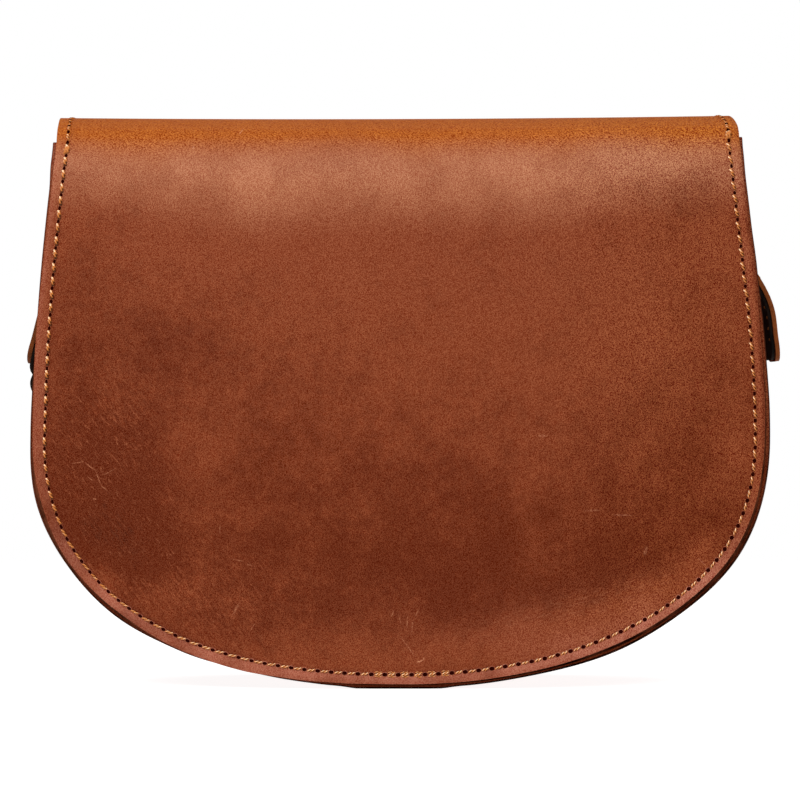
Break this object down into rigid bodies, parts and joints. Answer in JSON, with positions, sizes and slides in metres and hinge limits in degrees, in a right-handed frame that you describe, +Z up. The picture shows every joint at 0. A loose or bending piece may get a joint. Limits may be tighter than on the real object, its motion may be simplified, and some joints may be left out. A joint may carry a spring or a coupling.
{
  "type": "handbag",
  "caption": "Upright saddle-shaped leather handbag with a fold-over flap in one piece with its back, an outward-sewn gusset and short strap tabs at the sides.",
  "frame": {"origin": "on the ground under the middle of the bag as it stands upright", "axes": "+X to the right of someone who looks at the back, +Y from the back to the flap, +Z up"},
  "size_m": [0.2592, 0.0674, 0.1953],
  "materials": {
    "brown_leather": "waxed pull-up leather, satin, fine grain with scuffs",
    "gusset_leather": "waxed leather, satin, dark dyed cut edges",
    "dark_leather": "near-black leather, matt",
    "steel": "brushed",
    "thread": "waxed golden sewing thread"
  },
  "bodies": {
    "root": {"back_flap_panel": "brown_leather", "front_panel": "brown_leather", "gusset": "gusset_leather", "strap_tab_left": "brown_leather", "strap_tab_right": "brown_leather", "tab_backing_left": "dark_leather", "tab_backing_right": "dark_leather", "flap_snap": "steel"}
  },
  "joints": []
}
